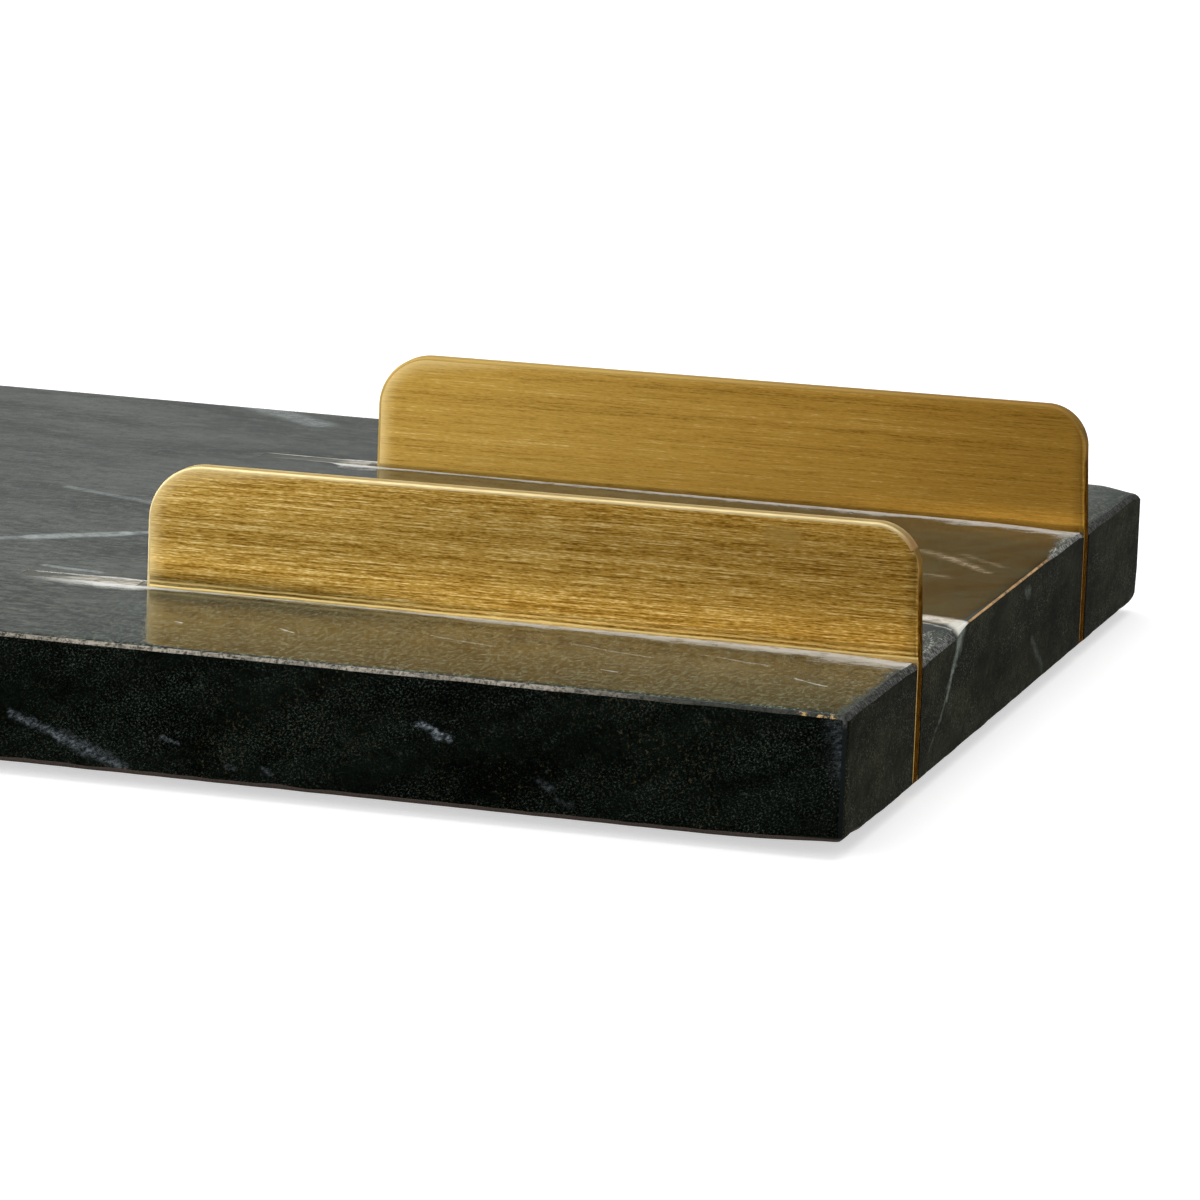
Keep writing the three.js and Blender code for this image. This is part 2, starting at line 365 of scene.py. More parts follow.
# Up a plate's face from the top: how light the painted light and shade make it at the front plate's inner end, over
# its rest, and at the back
INNER_TONES = [(0.5, 0.42), (1.4, 0.44), (2.6, 0.72), (4.0, 0.94), (6.0, 0.8), (8.4, 0.66), (11, 0.64), (14, 0.72),
               (20, 0.7)]
FRONT_TONES = [(0.6, 1.08), (2.4, 1.1), (4.0, 1.06), (6.0, 0.86), (8.4, 0.71), (11, 0.63), (14, 0.54), (20, 0.66)]
BACK_TONES = [(0.0, 0.44), (0.4, 0.46), (0.75, 0.8), (2.4, 0.85), (5.0, 0.89), (20, 0.91)]

# Colours

VEIN_WHITE = (0.86, 0.84, 0.75)
VEIN_GREY = (0.46, 0.52, 0.51)
VEIN_CREAM = (0.46, 0.38, 0.27)
SCUFF_WHITE = (0.66, 0.66, 0.63)
RUST = (0.66, 0.4, 0.18)
CHIP_BROWN = (0.42, 0.28, 0.12)


def strokes(s, colour, place, veins, tint, level, axis_pair, ragged, core=0.3):
    """colour with each vein laid over it. axis_pair says which two axes its points are on."""
    def point(pair):
        spot = [level * MM] * 3
        for axis, value in zip(axis_pair, pair):
            spot[axis] = value * MM
        return spot
    for *ends, width, strength in veins:
        mask = s.stroke(place, point(ends[:2]), point(ends[2:]), width * MM, core)
        colour = s.mix(s.times(s.times(mask, strength), ragged, clamp=True), colour, tint)
    return colour


def warped(s, scale, amount):
    """Object coordinates pushed about by noise, so that lines laid on them wander."""
    shift = s.vector("SUBTRACT", s.noise(s.place, scale, 3, 0.6, output="Color"), (0.5, 0.5, 0.5))
    return s.vector("ADD", s.place, s.vector("MULTIPLY", shift, (amount, amount, amount)))


def along_end(s):
    """The place along an end, from its front corner at the right end and from its back corner at the left."""
    x, y, z = s.axes()
    return s.times(y, s.math("SIGN", x))


def off_kerf(s):
    """Offset from the middle of the nearer kerf, growing the way along_end does."""
    shifted = s.math("ADD", along_end(s), 2 * KERF_CENTRE_Y)
    return s.minus(s.math("MODULO", shifted, 2 * KERF_CENTRE_Y), KERF_CENTRE_Y)


def beside_kerf(s):
    """Distance from the nearer wall of a kerf, below zero inside the kerf."""
    return s.minus(s.reach(off_kerf(s)), KERF_HALF_WIDTH)


def at_back(s):
    """0 at the kerf where along_end is below zero, 1 at the other one."""
    return s.ramp(along_end(s), -10 * MM, 10 * MM)


def polished_marble():
    """The slab's polished top: green-black stone with streaks, veins and dull scuffed edges."""
    s = Shading("marble_polished")
    x, y, z = s.axes()
    wandering = warped(s, 60, 7 * MM)
    clouds = s.streaks(5, 0.62, (16, 42, 50), (0, 0, 0.22), wandering)
    colour = s.mix(s.ramp(clouds, 0.34, 0.66), (0.008, 0.016, 0.012), (0.078, 0.09, 0.08))
    # Fine grain shows most towards the front
    clear = s.ramp(y, -95 * MM, 60 * MM, 1.0, 0.5)
    grain = s.streaks(3, 0.7, (1500, 620, 900), (0, 0, 0.1))
    pale_grain = s.times(s.ramp(grain, 0.54, 0.8), clear)
    colour = s.mix(pale_grain, colour, (0.19, 0.2, 0.16))
    dark_grain = s.times(s.ramp(grain, 0.47, 0.34), clear)
    colour = s.mix(s.times(dark_grain, 0.8), colour, (0.002, 0.004, 0.003))
    mottle = s.streaks(5, 0.72, (210, 620, 600), (0, 0, 0.05), wandering)
    scratches = s.streaks(2, 0.5, (230, 900, 600), (0, 0, -0.35))
    brushing = s.streaks(2, 0.7, (300, 1300, 600), (0, 0, 0.02))
    layers = [(mottle, 0.46, 0.7, (0.14, 0.15, 0.128)), (mottle, 0.48, 0.3, (0.01, 0.014, 0.011)),
              (scratches, 0.73, 0.84, (0.36, 0.34, 0.27)), (brushing, 0.5, 0.75, (0.12, 0.125, 0.1))]
    for pattern, low, high, tint in layers:
        colour = s.mix(s.times(s.ramp(pattern, low, high), clear), colour, tint)
    # Darker, more speckled stone in front of the front plate
    reach_x = s.reach(x)
    before = s.times(s.ramp(along_end(s), -53 * MM, -63 * MM), s.ramp(reach_x, 58 * MM, 96 * MM))
    speckle = s.ramp(s.streaks(3, 0.85, (1500, 800, 900), (0, 0, 0.1)), 0.49, 0.62)
    streaks = s.streaks(5, 0.8, (90, 470, 600), (0.12, 0, 0), wandering)
    base = s.mix(s.ramp(reach_x, 140 * MM, 190 * MM), (0.0, 0.004, 0.006), (0.0, 0.018, 0.02))
    base = s.mix(s.ramp(streaks, 0.5, 0.7), base, (0.055, 0.075, 0.052))
    colour = s.mix(s.times(before, 0.75), colour, s.mix(speckle, base, (0.135, 0.17, 0.125)))
    # Darker between the plates: painted shade, mottled
    between = s.times(s.ramp(reach_x, 135 * MM, 170 * MM), s.ramp(s.reach(y), 54 * MM, 48 * MM))
    soft = s.streaks(4, 0.7, (170, 50, 60), (0, 0, 0.6), wandering)
    between_colour = s.mix(s.ramp(soft, 0.36, 0.64), (0.0, 0.007, 0.01), (0.012, 0.038, 0.034))
    colour = s.mix(s.times(between, 0.78), colour, between_colour)
    near = warped(s, 150, 2.2 * MM)
    ragged = s.ramp(s.streaks(3, 0.7, (500, 500, 500)), 0.3, 0.6, 0.35, 1.0)
    colour = strokes(s, colour, near, TOP_VEINS, VEIN_GREY, TOP_LEVEL, (0, 1), ragged)
    feathered = s.ramp(s.streaks(3, 0.8, (500, 900, 900), (0, 0, -0.5)), 0.4, 0.62, 0.1, 1.0)
    colour = strokes(s, colour, near, CREAM_VEINS, VEIN_CREAM, TOP_LEVEL, (0, 1), feathered, 0.0)
    # White scuffs along each kerf, wider beside the plate's inner end and towards the mouth
    front, behind = s.profile(reach_x, FRONT_SCUFFS), s.profile(reach_x, BACK_SCUFFS)
    widening = s.times(s.fade(at_back(s), front, behind), MM)
    widening = s.times(widening, s.ramp(off_kerf(s), -1 * MM, 1 * MM, 1.0, 0.25))
    uneven = s.streaks(4, 0.65, (110, 260, 300))
    width = s.times(widening, s.ramp(uneven, 0.3, 0.7, 0.65, 1.35))
    scuff = s.ramp(s.math("DIVIDE", beside_kerf(s), width), 1.15, 0.25)
    scuff = s.times(scuff, s.ramp(reach_x, KERF_TIP_X - 3 * MM, KERF_TIP_X + 16 * MM))
    rubbed = s.streaks(4, 0.75, (420, 900, 900))
    scuff = s.times(scuff, s.ramp(rubbed, 0.28, 0.52, 0.35, 1.0))
    colour = s.mix(scuff, colour, SCUFF_WHITE)
    # Dull grinding along the end's top edge
    inward = s.minus(HALF_LENGTH, reach_x)
    grit = s.noise(s.place, 3000, 2, 0.75)
    soft = s.noise(s.place, 260, 3, 0.6)
    reach = s.times(s.profile(along_end(s), END_WEAR_REACH), MM)
    ratio = s.math("DIVIDE", inward, s.times(reach, s.ramp(soft, 0.3, 0.7, 0.7, 1.3)))
    wear_and_painted_light = s.ramp(ratio, 1.35, 0.5)
    combed = s.streaks(3, 0.7, (1100, 130, 900))
    pale = s.times(s.profile(along_end(s), END_WEAR_PALE), s.ramp(grit, 0.5, 0.64, 0.02, 2.8))
    pale = s.times(pale, s.ramp(combed, 0.42, 0.66, 0.7, 2.4), clamp=True)
    worn_colour = s.mix(pale, (0.011, 0.019, 0.012), (0.74, 0.76, 0.66))
    colour = s.mix(s.times(wear_and_painted_light, s.minus(0.92, scuff), clamp=True), colour, worn_colour)
    colour = strokes(s, colour, near, END_TOP_VEINS, VEIN_WHITE, TOP_LEVEL, (0, 1), ragged)
    dull = s.math("MAXIMUM", wear_and_painted_light, scuff)
    roughness = s.times_plus(dull, 0.55, s.ramp(grain, 0.3, 0.8, 0.06, 0.14))
    normal = s.bump(s.times(grit, dull), 0.09 * MM)
    normal = s.bump(s.times(grain, clear), 0.01 * MM, below=normal)
    normal = s.bump(s.times(speckle, before), 0.004 * MM, below=normal)
    return s.finish(Base_Color=colour, Roughness=roughness, IOR=1.46, Normal=normal)


def honed_marble(name, dark, light, specks, veins, level, axis_pair, tint, gaps):
    """A sawn and honed side: nearly black stone full of fine specks in two tones."""
    s = Shading(name)
    clouds = s.streaks(4, 0.65, (40, 40, 100), (0, 0.35, 0), warped(s, 90, 5 * MM))
    colour = s.mix(s.ramp(clouds, 0.36, 0.66), dark, light)
    flow = s.streaks(4, 0.65, (55, 55, 160), (0, 0.3, 0), warped(s, 120, 4 * MM))
    area = s.ramp(flow, 0.36, 0.64, 0.1, 1.0)
    fine = s.streaks(3, 0.8, (2500, 2500, 3200), (0, 0.35, 0))
    colour = s.mix(s.times(s.ramp(fine, 0.5, 0.7), area), colour, specks[0])
    combed = s.streaks(4, 0.8, (700, 700, 300), (0.6, 0.6, 0))
    colour = s.mix(s.ramp(combed, 0.52, 0.36, 0.0, 0.5), colour, tuple(0.25 * part for part in dark))
    colour = s.mix(s.ramp(combed, 0.6, 0.76, 0.0, 0.35), colour, specks[0])
    brown_area = s.ramp(s.noise(s.place, 75, 3, 0.6), 0.46, 0.66, 0.12, 1.0)
    brown = s.ramp(s.noise(s.place, 1650, 2, 0.7), 0.56, 0.72)
    colour = s.mix(s.times(brown, brown_area), colour, specks[1])
    ragged = s.ramp(s.streaks(4, 0.85, (900, 900, 2200), (0, 0.4, 0)), 0.42, 0.66, gaps, 1.0)
    colour = strokes(s, colour, warped(s, 500, 2.2 * MM), veins, tint, level, axis_pair, ragged, 0.0)
    return s.finish(Base_Color=colour, Roughness=0.5, Specular_IOR_Level=0.002, Normal=s.bump(fine, 0.03 * MM))


def ground_marble():
    """Hand-ground edges: speckled brown-grey along the sides, darker on the ends, the corners and the underside, with
    a painted blue-grey highlight fading down the upright corners.
    """
    s = Shading("marble_ground")
    x, y, z = s.axes()
    coarse = s.noise(s.place, 1500, 4, 0.8)
    slow = s.ramp(s.noise(s.place, 90, 3, 0.6), 0.3, 0.7, 0.65, 1.25)
    pale_side = s.times(s.ramp(coarse, 0.36, 0.6), slow, clamp=True)
    colour = s.mix(pale_side, (0.03, 0.028, 0.023), (0.32, 0.29, 0.24))
    pale = s.times(s.profile(along_end(s), END_WEAR_PALE), s.ramp(coarse, 0.4, 0.7, 0.2, 2.6), clamp=True)
    end_colour = s.mix(pale, (0.012, 0.014, 0.012), (0.8, 0.8, 0.75))
    along = along_end(s)
    rust = s.times(s.ramp(along, -30 * MM, -22 * MM), s.ramp(along, 33 * MM, 24 * MM))
    rust = s.times(rust, s.ramp(s.noise(s.place, 300, 4, 0.7), 0.36, 0.56, 0.15, 0.95))
    end_colour = s.mix(rust, end_colour, RUST)
    near = warped(s, 150, 2.2 * MM)
    end_colour = strokes(s, end_colour, near, END_TOP_VEINS[1:3], VEIN_WHITE, END_EDGE_LEVEL, (0, 1), 1.0)
    reach_x = s.reach(x)
    at_end = s.ramp(reach_x, HALF_LENGTH - 1.6 * MM, HALF_LENGTH - 1.1 * MM)
    at_corner = s.ramp(reach_x, HALF_LENGTH - 52 * MM, HALF_LENGTH - 22 * MM, 0.0, 0.88)
    colour = s.mix(at_corner, colour, (0.016, 0.018, 0.016))
    colour = s.mix(at_end, colour, end_colour)
    kerf_rim = s.times(s.ramp(beside_kerf(s), 1.0 * MM, 0.5 * MM), s.minus(1.0, at_end))
    colour = s.mix(kerf_rim, colour, s.mix(coarse, (0.16, 0.16, 0.14), (0.62, 0.62, 0.58)))
    chip = s.stroke(s.place, (193.4 * MM, -100 * MM, 21.4 * MM), (197.4 * MM, -100 * MM, 21.0 * MM), 1.4 * MM)
    chip = s.times(chip, s.ramp(s.noise(s.place, 1000, 3, 0.8), 0.52, 0.57))
    colour = s.mix(chip, colour, CHIP_BROWN)
    # Upright corners: near black, with a painted blue-grey highlight that fades towards the bottom
    upright = s.ramp(z, TOP_Z - 1.4 * MM, TOP_Z - 2.4 * MM)
    lower = s.ramp(z, UNDERSIDE_Z, TOP_Z - 2 * MM, 0.35, 1.0)
    corner_colour = s.mix(s.times(coarse, lower), (0.001, 0.002, 0.002), (0.016, 0.021, 0.021))
    colour = s.mix(upright, colour, corner_colour)
    under = s.ramp(z, UNDERSIDE_Z + 1.4 * MM, UNDERSIDE_Z + 1.0 * MM)
    colour = s.mix(under, colour, s.mix(coarse, (0.02, 0.015, 0.012), (0.095, 0.07, 0.058)))
    return s.finish(Base_Color=colour, Roughness=0.75, Specular_IOR_Level=0.05,
                    Normal=s.bump(coarse, 0.08 * MM))


def plate_edge_distance(s):
    """Distance on a plate's face from its inner end, its rounded inner corner or its climbing top edge."""
    x, y, z = s.axes()
    reach_x = s.reach(x)
    slope = PLATE_CLIMB / (plate_high.x - plate_low.x)
    top = s.times_plus(reach_x, slope, plate_high.z - slope * (plate_high.x - PLATE_OUTER_RADIUS))
    qx = s.minus(plate_low.x + PLATE_INNER_RADIUS, reach_x)
    qz = s.math("ADD", s.minus(z, top), PLATE_INNER_RADIUS)
    corner = s.node("ShaderNodeCombineXYZ", {0: s.math("MAXIMUM", qx, 0.0), 1: s.math("MAXIMUM", qz, 0.0)})
    outside = s.vector("LENGTH", corner.outputs[0], output="Value")
    inside = s.math("MINIMUM", s.math("MAXIMUM", qx, qz), 0.0)
    return s.minus(PLATE_INNER_RADIUS, s.math("ADD", outside, inside))


def brushed_brass():
    """Antique brass brushed along the plate, tarnished at its outer end, with a painted highlight on its buffed inner
    end, painted shade at its outer end, and painted light and shade up its face and along its foot.
    """
    s = Shading("brass_brushed")
    x, y, z = s.axes()
    reach_x = s.reach(x)
    # Fine lines of three lengths in two hands' directions, a short grain and broad soft bands
    long_lines = s.streaks(2, 0.75, (16, 3000, 2100), (0, 0.016, 0))
    lines = s.streaks(2, 0.75, (90, 3000, 4000), (0, 0.012, 0))
    others = s.streaks(2, 0.75, (260, 3000, 4800), (0, -0.016, 0))
    grain = s.streaks(1, 0.6, (1000, 3000, 5000))
    mixed = s.times_plus(lines, 0.3, s.times(long_lines, 0.2))
    mixed = s.times_plus(grain, 0.2, s.times_plus(others, 0.3, mixed))
    bands = s.streaks(2, 0.6, (5, 500, 800))
    # The back plates are smoothed by wear, so their lines are weaker
    back = at_back(s)
    contrast = s.ramp(back, 0.0, 1.0, 2.0, 0.85)
    level = s.times_plus(s.minus(mixed, 0.5), contrast, 0.5)
    level = s.times_plus(s.minus(bands, 0.5), s.ramp(back, 0.0, 1.0, 0.24, 0.2), level)
    colour = s.mix(s.ramp(level, 0.34, 0.53), (0.28, 0.14, 0.016), (0.64, 0.395, 0.08))
    colour = s.mix(s.ramp(level, 0.52, 0.7), colour, (1.0, 0.79, 0.34))
    warmth = s.ramp(reach_x, plate_low.x + 10 * MM, plate_high.x)
    colour = s.mix(s.times(warmth, s.ramp(back, 0.0, 1.0, 0.7, 1.0)), colour,
                   s.vector("MULTIPLY", colour, (1.0, 0.88, 0.68)))
    smudge = s.stroke(s.place, (176.5 * MM, -58 * MM, 39.3 * MM), (179.5 * MM, -58 * MM, 39.0 * MM), 2.2 * MM)
    colour = s.mix(s.times(smudge, 0.6), colour, (0.56, 0.36, 0.09))
    # Painted highlight: pale near the inner end and its rounded top corner, laid on brass that is buffed there
    edge = plate_edge_distance(s)
    buffed_highlight_width = s.ramp(reach_x, plate_low.x + 4 * MM, plate_low.x + 30 * MM, 4.2 * MM, 1.1 * MM)
    buffed_highlight = s.math("POWER", s.ramp(s.math("DIVIDE", edge, buffed_highlight_width), 1.0, -0.35), 1.6)
    buffed_highlight = s.times(buffed_highlight, s.ramp(reach_x, plate_low.x, HALF_LENGTH - 20 * MM, 1.0, 0.25))
    colour = s.mix(buffed_highlight, colour, (1.0, 0.79, 0.38))
    # Painted shade: the face darker over the last few millimetres of the outer end
    outer = s.ramp(reach_x, HALF_LENGTH - 3.2 * MM, HALF_LENGTH - 1.0 * MM, 1.0, 0.78)
    height = s.minus(z, TOP_Z)
    wander = s.times(s.minus(s.streaks(2, 0.6, (45, 0, 0)), 0.5), 0.6 * MM)
    # Painted highlight and shade lines along the front plates' foot; above 1 they turn into a pale painted highlight
    foot = s.profile(s.math("ADD", height, wander), FOOT_LINES)
    foot = s.fade(back, foot, 1.0)
    # Painted light and shade up the face from these tables; glow is painted light low on the back plates towards the
    # outer end
    inner, front, behind = [s.profile(height, stops) for stops in (INNER_TONES, FRONT_TONES, BACK_TONES)]
    rest = s.ramp(reach_x, plate_low.x + 18 * MM, plate_low.x + 62 * MM)
    front = s.fade(rest, inner, front)
    glow = s.times(s.ramp(height, 4 * MM, 1 * MM, 0.0, 0.6), s.ramp(reach_x, 150 * MM, 198 * MM))
    behind = s.times(behind, s.ramp(reach_x, 160 * MM, 196 * MM, 1.0, 0.88))
    behind = s.times_plus(behind, glow, behind)
    shade = s.times(s.times(outer, s.math("MINIMUM", foot, 1.0)), s.fade(back, front, behind))
    shaded = s.scaled(colour, shade)
    shaded = s.mix(s.times(s.minus(foot, 1.0), 1.6, clamp=True), shaded, (1.0, 0.8, 0.34))
    return s.finish(Base_Color=shaded, Metallic=1.0, Roughness=0.5, Anisotropic=0.9, Anisotropic_Rotation=0.25,
                    Normal=s.bump(mixed, 0.012 * MM))


def edge_brass():
    """The plates' top and inner edges: pale, dull brass, with painted highlight and shade across the front plates'
    top edge, and painted shade on the back plates' edges and near the outer ends.
    """
    s = Shading("brass_edge")
    fine = s.streaks(3, 0.7, (300, 2500, 2500))
    reach_x = s.reach(s.axes()[0])
    # Painted highlight and shade across the top edge, a little lighter towards the inner end
    wear_and_painted_light = s.profile(off_kerf(s), RIM_TONES)
    wear_and_painted_light = s.times(wear_and_painted_light, s.ramp(reach_x, plate_low.x + 10 * MM, plate_high.x - 40 * MM, 1.1, 0.88))
    pale = s.mix(s.ramp(fine, 0.3, 0.7), (0.64, 0.44, 0.15), (0.92, 0.72, 0.34))
    # A painted highlight line along the front of the top edge
    pale = s.mix(s.ramp(off_kerf(s), -0.95 * MM, -1.15 * MM, 0.0, 0.4), pale, (0.96, 0.84, 0.52))
    pale = s.scaled(pale, wear_and_painted_light)
    # Painted shade: the back plates' edges darker, more so outward, and the front plates' edges darker near the outer
    # end
    along = s.ramp(reach_x, plate_low.x + 14 * MM, plate_high.x - 8 * MM)
    dim = s.mix(along, (0.46, 0.31, 0.085), (0.26, 0.145, 0.025))
    pale = s.mix(s.ramp(reach_x, plate_high.x - 5 * MM, plate_high.x - 1.6 * MM, 0.0, 0.85), pale, (0.36, 0.2, 0.07))
    colour = s.mix(at_back(s), pale, dim)
    return s.finish(Base_Color=colour, Metallic=0.4, Roughness=0.6, Specular_Tint=(1.0, 0.72, 0.34, 1),
                    Normal=s.bump(fine, 0.01 * MM))


def end_brass():
    """The plates' outer ends: dull brown brass, ground together with the stone."""
    s = Shading("brass_end")
    fine = s.streaks(3, 0.7, (1500, 1500, 500))
    colour = s.mix(s.ramp(fine, 0.3, 0.7), (0.075, 0.038, 0.005), (0.22, 0.125, 0.024))
    rubbed = s.ramp(s.axes()[2], TOP_Z + 9 * MM, TOP_Z + 17 * MM, 0.0, 0.8)
    colour = s.mix(rubbed, colour, (0.52, 0.36, 0.14))
    return s.finish(Base_Color=colour, Metallic=1.0, Roughness=0.5, Specular_Tint=(0.1, 0.06, 0.02, 1),
                    Normal=s.bump(fine, 0.03 * MM))


def stone_filler():
    """Beige paste with stone dust, white from wear in places."""
    s = Shading("filler_paste")
    specks = s.streaks(3, 0.7, (700, 1800, 1500))
    colour = s.mix(s.ramp(specks, 0.3, 0.75), (0.13, 0.12, 0.095), (0.46, 0.43, 0.35))
    wear_and_painted_light = s.ramp(s.streaks(4, 0.7, (140, 700, 700)), 0.48, 0.66, 0.0, 0.8)
    colour = s.mix(wear_and_painted_light, colour, (0.58, 0.58, 0.54))
    reach_x = s.reach(s.axes()[0])
    tip = s.ramp(reach_x, KERF_TIP_X + 13 * MM, KERF_TIP_X, 0.0, 0.9)
    limit = s.ramp(reach_x, KERF_TIP_X, KERF_TIP_X + 15 * MM, -KERF_HALF_WIDTH, 1.3 * KERF_HALF_WIDTH)
    beyond = s.ramp(s.minus(off_kerf(s), limit), -0.5 * MM, 0.4 * MM, 0.0, 0.85)
    colour = s.mix(s.math("MAXIMUM", tip, beyond), colour, (0.06, 0.064, 0.056))
    faint = s.profile(reach_x, BACK_FILLER)
    faint = s.times(s.minus(1.0, faint), at_back(s))
    colour = s.mix(faint, colour, (0.075, 0.08, 0.07))
    return s.finish(Base_Color=colour, Roughness=0.7, Specular_IOR_Level=0.2,
                    Normal=s.bump(specks, 0.04 * MM))


def glue(name, dark, light):
    """Set glue with pale crumbs of stone."""
    s = Shading(name)
    specks = s.streaks(3, 0.7, (350, 2000, 700))
    colour = s.mix(s.ramp(specks, 0.4, 0.66), dark, light)
    return s.finish(Base_Color=colour, Roughness=0.6, Specular_IOR_Level=0.2)


def foot_rubber():
    """Matte black rubber with a fine grain."""
    s = Shading("foot_rubber")
    specks = s.noise(s.place, 2500, 2, 0.6)
    colour = s.mix(specks, (0.012, 0.012, 0.012), (0.04, 0.04, 0.038))
    return s.finish(Base_Color=colour, Roughness=0.75, Specular_IOR_Level=0.3,
                    Normal=s.bump(specks, 0.02 * MM))


# Slab: outline stations round the plan, each with a column of points from the top to the underside

def grind_side(x, y):
    """The place along an end, as along_end has it for the materials."""
    return y if x > 0 else -y


def ground_depth(x, y):
    """How far hand grinding has lowered the top at a place."""
    ax, ay = abs(x), abs(y)
    along = grind_side(x, y)
    reach = smooth(HALF_LENGTH - MOUTH_HOLLOW_LENGTH, HALF_LENGTH, ax)
    outside = max(ay - KERF_OUTER_Y, 0)
    inside = max(KERF_INNER_Y - ay, 0)
    fade = math.exp(-(outside / MOUTH_HOLLOW_WIDTH) ** 2 - (inside / (0.5 * MOUTH_HOLLOW_WIDTH)) ** 2)
    hollow = MOUTH_HOLLOW_DEPTH * reach ** 1.5 * fade * (0.8 + 0.4 * wobble(15 * MM, x, y, 3))
    # Behind the front plate the end's edge is ground down as far as the white vein
    dip = smooth(HALF_LENGTH - 8 * MM, HALF_LENGTH, ax) ** 1.3 * smooth(-30 * MM, -37 * MM, along)
    dip *= 0.45 * MM if along > -KERF_INNER_Y - MM else 0
    # The back corner of the end slopes away from the back plate
    fall = 0.5 * MM * smooth(HALF_LENGTH - 60 * MM, HALF_LENGTH, ax)
    fall *= smooth(KERF_OUTER_Y, KERF_OUTER_Y + 20 * MM, along)
    corner = Vector((HALF_LENGTH - ax, HALF_WIDTH - ay)).length
    corner_roll = (1.0 if along > 0 else 0.1) * MM * smooth(8 * MM, 0, corner)
    return hollow + dip + fall + corner_roll


def underside_lift(x, y):
    """How far the underside's edge curves up near a corner."""
    length, width, height = (22, 30, 0.7) if grind_side(x, y) < 0 else (6, 4, 0.8)
    corner = Vector(((HALF_LENGTH - abs(x)) / length, (HALF_WIDTH - abs(y)) / width)).length / MM
    return height * MM * smooth(1, 0, corner) ** 1.5


def rim_height(x):
    """Height of the saw kerf's curved floor at a distance x from the middle."""
    if x >= KERF_FOOT_X:
        return UNDERSIDE_Z
    return BLADE_Z - math.sqrt(BLADE_RADIUS ** 2 - (BLADE_X - x) ** 2)


def arris_width(x, y):
    """Width of the top's ground edge at a place on the outline."""
    width = SIDE_ARRIS
    along = grind_side(x, y) / MM
    for (low, first), (high, second) in zip(END_ARRIS, END_ARRIS[1:]):
        if low <= along <= high:
            on_end = MM * (first + (second - first) * (along - low) / (high - low))
            width += (on_end - width) * smooth(SLAB_CORNER_RADIUS, 0, HALF_LENGTH - abs(x))
            break
    return width * (1 + 0.12 * wobble(7 * MM, x, y, 5) + 0.1 * wobble(1.6 * MM, x, y, 9))


def kerf_edge_width(x, y):
    return KERF_EDGE * (1 + 1.6 * max(wobble(2.2 * MM, x, y, 21), -0.5))


def outer_station(x, y, normal):
    """A column on the slab's outer faces."""
    def squeezed(place, half, reach):
        """place, drawn in evenly near a corner so that it stays within half less reach."""
        start = half - CORNER_REACH
        share = (CORNER_REACH - reach) / (CORNER_REACH - SLAB_CORNER_RADIUS)
        return math.copysign(start + (abs(place) - start) * share, place) if abs(place) > start else place

    def inset(t):
        radius = max(SLAB_CORNER_RADIUS - t, INNER_CORNER_RADIUS)
        px = squeezed(x - SLAB_CORNER_RADIUS * normal[0], HALF_LENGTH, t + radius) + normal[0] * radius
        py = squeezed(y - SLAB_CORNER_RADIUS * normal[1], HALF_WIDTH, t + radius) + normal[1] * radius
        if abs(abs(py) - KERF_CENTRE_Y) < KERF_HALF_WIDTH + KERF_EDGE and abs(normal[0]) > 0.9:
            edge = KERF_EDGE if t > 0 else 0
            wall = KERF_INNER_Y - edge if abs(y) < KERF_CENTRE_Y else KERF_OUTER_Y + edge
            py = math.copysign(wall, py)
        return px, py
    width = arris_width(x, y)
    roll_share = smooth(0, 5 * MM, abs(abs(y) - KERF_CENTRE_Y) - KERF_HALF_WIDTH)
    roll = EDGE_ROLL * (0.15 + 0.85 * roll_share)
    column = []
    for share in (1.2, 0.75, 0.35, 0):
        px, py = inset(width + roll * share)
        drop = EDGE_ROLL_DROP * roll_share * max(1 - share, 0) ** 2
        column.append((px, py, TOP_Z - ground_depth(px, py) - drop))
    top = column[-1][2]
    lift = UNDERSIDE_Z + underside_lift(x, y)
    low_width = ARRIS * (1 + 0.3 * wobble(5 * MM, x, y, 13))
    column.append((*inset(0.45 * width), top - 0.4 * width))
    column.append((*inset(0), top - width))
    column.append((*inset(0), top - width - SUPPORT_STEP))
    corner = Vector((HALF_LENGTH - abs(x), HALF_WIDTH - abs(y))).length
    wear_and_painted_light = (CORNER_WEAR if x * y > 0 else 0.4 * CORNER_WEAR) * smooth(6 * MM, 0.5 * MM, corner)
    for share, wear in ((0.35, 0), (0.74, 0.04)):
        column.append((*inset(wear_and_painted_light * wear), top - width + (lift + low_width - top + width) * share))
    column.append((*inset(wear_and_painted_light * 0.62), lift + low_width))
    column.append((*inset(low_width + wear_and_painted_light), lift))
    return column


def kerf_station(x, y):
    """A column on a kerf wall. x and y are on the wall itself."""
    out = math.copysign(1, abs(y) - KERF_CENTRE_Y)
    edge = min(kerf_edge_width(x, y), max((abs(x) - KERF_TIP_X) * 0.5, 0.01 * MM))
    width = arris_width(math.copysign(HALF_LENGTH, x), y)

    def inset(t, k):
        px = math.copysign(min(abs(x), HALF_LENGTH - t), x)
        return px, math.copysign(abs(y) + out * k, y)
    column = []
    for share in (1, 0.55, 0.2, 0):
        px, py = inset(width + EDGE_ROLL * 0.15 * share, edge)
        column.append((px, py, TOP_Z - ground_depth(px, py)))
    top = column[-1][2]
    floor = min(rim_height(abs(x)), top - 0.02 * MM)
    mouth = max(edge, width - HALF_LENGTH + abs(x))
    column.append((*inset(0.45 * width, 0.4 * edge), top - 0.4 * mouth))
    low = max(top - mouth, floor + 0.01 * MM)
    column.append((*inset(0, 0), low))
    for share in (0.1, 0.35, 0.7):
        column.append((*inset(0, 0), low + (floor - low) * share))
    step = min(ARRIS, 0.1 * (low - floor))
    column.append((*inset(0, 0), floor + step))
    column.append((*inset(ARRIS, 0), floor))
    return column


